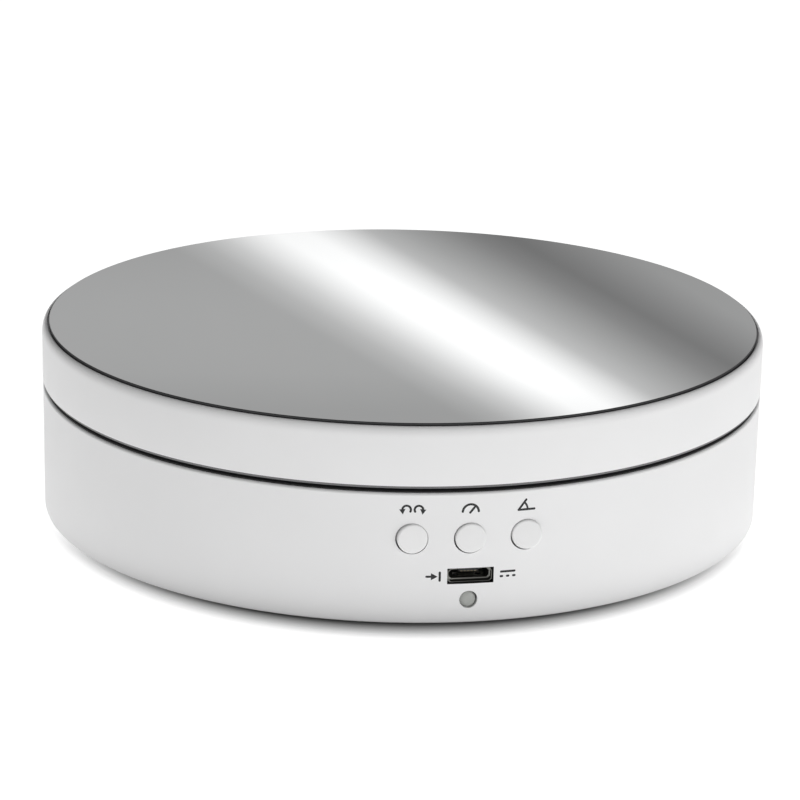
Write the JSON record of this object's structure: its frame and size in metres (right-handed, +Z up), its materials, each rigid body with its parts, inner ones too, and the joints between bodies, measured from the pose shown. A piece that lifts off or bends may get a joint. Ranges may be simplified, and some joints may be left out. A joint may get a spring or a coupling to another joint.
{
  "type": "turntable display stand",
  "caption": "Low round motorised display turntable: mirror-topped platter on a white drum with push buttons, a micro power inlet and an indicator lamp in its wall.",
  "frame": {"origin": "centre of the circle of rubber feet, on the surface the stand rests on", "axes": "+Z up along the platter's turning axis, -Y towards the buttons and the power inlet, +X to the right seen from the buttons"},
  "size_m": [0.146, 0.1464, 0.0388],
  "materials": {
    "white_plastic": "satin",
    "button_plastic": "satin",
    "mirror": "polished",
    "rubber": "matte",
    "steel": "plated",
    "plated_steel": "drawn and plated",
    "brass": "turned",
    "copper_coil": "enamelled wire",
    "magnet": "sintered",
    "gear_plastic": "moulded",
    "roller_plastic": "moulded",
    "board": "solder mask",
    "black_plastic": "moulded",
    "connector_plastic": "moulded",
    "wire_cap_plastic": "moulded",
    "wire_insulation": "smooth",
    "lamp_lens": "diffused"
  },
  "bodies": {
    "base": {"base_shell": "white_plastic", "bottom_cover": "white_plastic", "foot_1": "rubber", "foot_2": "rubber", "foot_3": "rubber", "foot_4": "rubber", "cover_screw_1": "steel", "cover_screw_2": "steel", "cover_screw_3": "steel", "cover_screw_4": "steel", "motor_screw_1": "steel", "motor_screw_2": "steel", "board_screw_1": "steel", "board_screw_2": "steel", "roller_pin_1": "steel", "roller_pin_2": "steel", "roller_pin_3": "steel", "roller_pin_4": "steel", "motor_can": "plated_steel", "motor_lid": "plated_steel", "gear_plate": "plated_steel", "stator_poles": "plated_steel", "usb_socket": "plated_steel", "shaft_bush": "brass", "coil_lower": "copper_coil", "coil_upper": "copper_coil", "circuit_board": "board", "controller_chip": "black_plastic", "driver_chip": "black_plastic", "capacitor": "black_plastic", "usb_tongue": "black_plastic", "switch_direction": "black_plastic", "switch_speed": "black_plastic", "switch_angle": "black_plastic", "board_header": "connector_plastic", "wire_plug": "connector_plastic", "wire_cap": "wire_cap_plastic", "motor_wires": "wire_insulation", "indicator_led": "lamp_lens"},
    "turntable": {"platter": "white_plastic", "mirror_disc": "mirror", "drive_hub": "gear_plastic", "hub_screw_1": "steel", "hub_screw_2": "steel", "output_shaft": "steel"},
    "rotor": {"rotor_magnet": "magnet", "rotor_pinion": "brass"},
    "first_gear": {"gear_1": "gear_plastic"},
    "second_gear": {"gear_2": "gear_plastic"},
    "third_gear": {"gear_3": "gear_plastic"},
    "wheel_1": {"roller_1": "roller_plastic"},
    "wheel_2": {"roller_2": "roller_plastic"},
    "wheel_3": {"roller_3": "roller_plastic"},
    "wheel_4": {"roller_4": "roller_plastic"},
    "direction_button": {"button_direction": "button_plastic", "plunger_direction": "black_plastic"},
    "speed_button": {"button_speed": "button_plastic", "plunger_speed": "black_plastic"},
    "angle_button": {"button_angle": "button_plastic", "plunger_angle": "black_plastic"}
  },
  "joints": [
    {"name": "platter_spin", "type": "hinge", "parent": "base", "child": "turntable", "pos_m": [0, 0, 0.03], "axis": [0, 0, 1], "continuous": true},
    {"name": "third_gear_spin", "type": "hinge", "parent": "base", "child": "third_gear", "pos_m": [0.00435, -0.00435, 0.0203], "axis": [0, 0, 1], "continuous": true},
    {"name": "second_gear_spin", "type": "hinge", "parent": "base", "child": "second_gear", "pos_m": [-0.00055, -0.00623, 0.0191], "axis": [0, 0, 1], "continuous": true},
    {"name": "first_gear_spin", "type": "hinge", "parent": "base", "child": "first_gear", "pos_m": [-0.00533, -0.00492, 0.0179], "axis": [0, 0, 1], "continuous": true},
    {"name": "rotor_spin", "type": "hinge", "parent": "base", "child": "rotor", "pos_m": [0, -0.008, 0.011], "axis": [0, 0, 1], "continuous": true},
    {"name": "wheel_1_spin", "type": "hinge", "parent": "base", "child": "wheel_1", "pos_m": [0.06, 0, 0.0302], "axis": [1, 0, 0], "continuous": true},
    {"name": "wheel_2_spin", "type": "hinge", "parent": "base", "child": "wheel_2", "pos_m": [0, 0.06, 0.0302], "axis": [0, 1, 0], "continuous": true},
    {"name": "wheel_3_spin", "type": "hinge", "parent": "base", "child": "wheel_3", "pos_m": [-0.06, 0, 0.0302], "axis": [-1, 0, 0], "continuous": true},
    {"name": "wheel_4_spin", "type": "hinge", "parent": "base", "child": "wheel_4", "pos_m": [0, -0.06, 0.0302], "axis": [0, -1, 0], "continuous": true},
    {"name": "direction_press", "type": "slide", "parent": "base", "child": "direction_button", "axis": [0, 1, 0], "range_m": [0, 0.0004], "stiffness_N_per_m": 2000, "springref_m": -0.0002},
    {"name": "speed_press", "type": "slide", "parent": "base", "child": "speed_button", "axis": [0, 1, 0], "range_m": [0, 0.0004], "stiffness_N_per_m": 2000, "springref_m": -0.0002},
    {"name": "angle_press", "type": "slide", "parent": "base", "child": "angle_button", "axis": [0, 1, 0], "range_m": [0, 0.0004], "stiffness_N_per_m": 2000, "springref_m": -0.0002}
  ],
  "couplings": [
    {"joint": "third_gear_spin", "follows": "platter_spin", "ratio": -3.1},
    {"joint": "second_gear_spin", "follows": "platter_spin", "ratio": 8.9556},
    {"joint": "first_gear_spin", "follows": "platter_spin", "ratio": -17.911},
    {"joint": "rotor_spin", "follows": "platter_spin", "ratio": 63.684},
    {"joint": "wheel_1_spin", "follows": "platter_spin", "ratio": -16.667},
    {"joint": "wheel_2_spin", "follows": "platter_spin", "ratio": -16.667},
    {"joint": "wheel_3_spin", "follows": "platter_spin", "ratio": -16.667},
    {"joint": "wheel_4_spin", "follows": "platter_spin", "ratio": -16.667}
  ]
}
